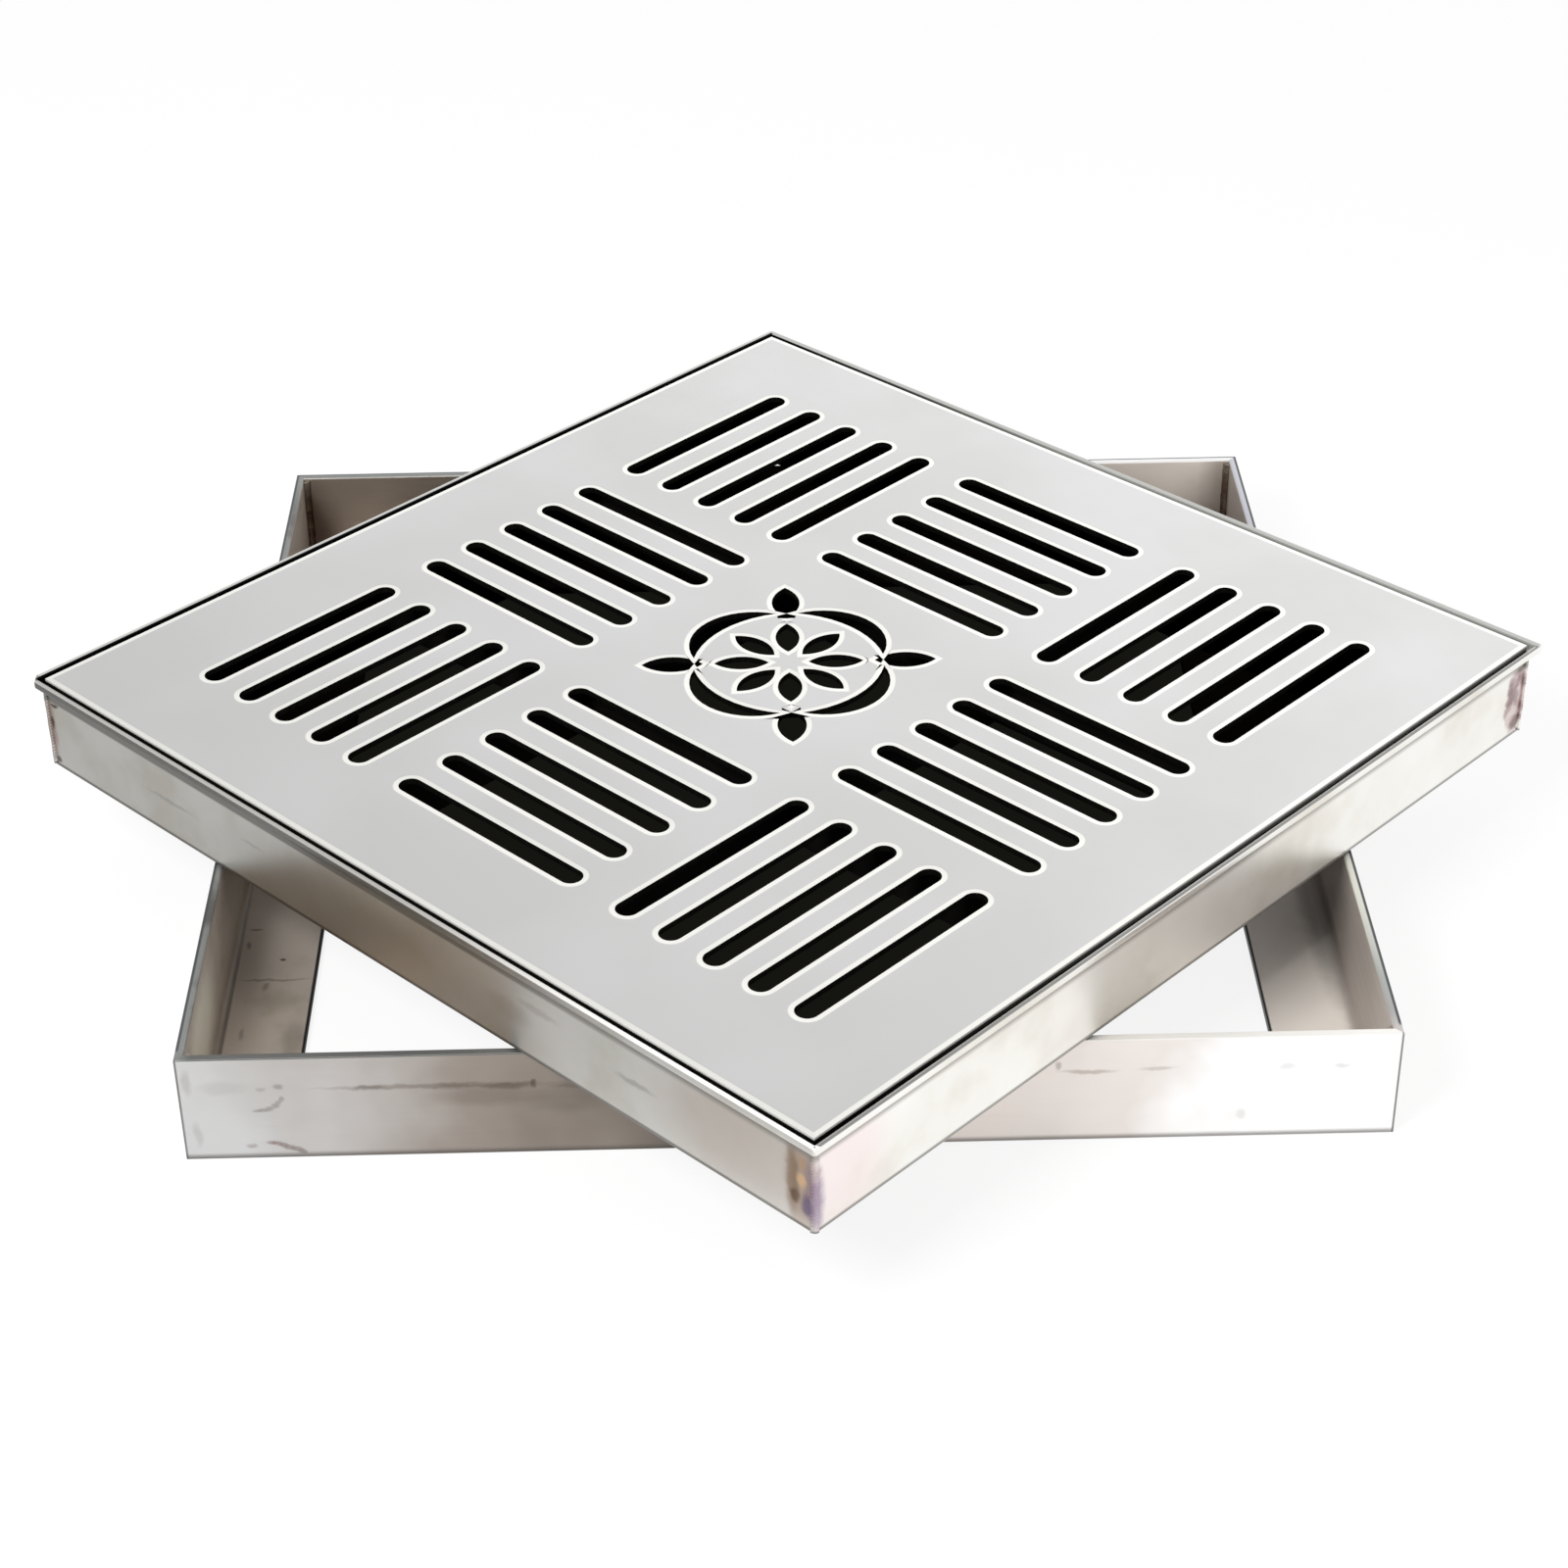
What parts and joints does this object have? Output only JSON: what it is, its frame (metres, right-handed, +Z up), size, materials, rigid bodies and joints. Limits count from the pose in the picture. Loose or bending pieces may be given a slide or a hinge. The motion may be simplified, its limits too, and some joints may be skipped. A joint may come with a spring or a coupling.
{
  "type": "inspection cover",
  "caption": "Square stainless-steel inspection cover: a slotted drain plate in a folded rim, lying turned across the open angle frame that it drops into.",
  "frame": {"origin": "on the ground under the centre of the cover, which is the middle of the whole outline", "axes": "+Z up; +X and +Y along the sides of the frame, with -Y towards its front side"},
  "size_m": [0.6888, 0.6888, 0.099],
  "materials": {
    "frame_bar": "mill-finish stainless angle bar, stained by handling",
    "rim_sheet": "mill-finish stainless sheet, folded, heat-tinted at the corners",
    "plate_sheet": "satin stainless sheet with bright cut edges",
    "flat_bar": "dull stainless flat bar, as rolled",
    "weld_bead": "stainless weld metal with straw, brown and violet heat tint"
  },
  "bodies": {
    "root": {"frame_angle_front": "frame_bar", "frame_angle_right": "frame_bar", "frame_angle_back": "frame_bar", "frame_angle_left": "frame_bar", "frame_corner_welds": "weld_bead", "rim_front_right": "rim_sheet", "rim_back_right": "rim_sheet", "rim_back_left": "rim_sheet", "rim_front_left": "rim_sheet", "rim_corner_welds": "weld_bead", "rest_front_right": "flat_bar", "rest_back_right": "flat_bar", "rest_back_left": "flat_bar", "rest_front_left": "flat_bar", "rib_along_near": "flat_bar", "rib_along_far": "flat_bar", "rib_across_near": "flat_bar", "rib_across_far": "flat_bar", "rib_end_welds": "weld_bead", "slotted_plate": "plate_sheet"}
  },
  "joints": []
}
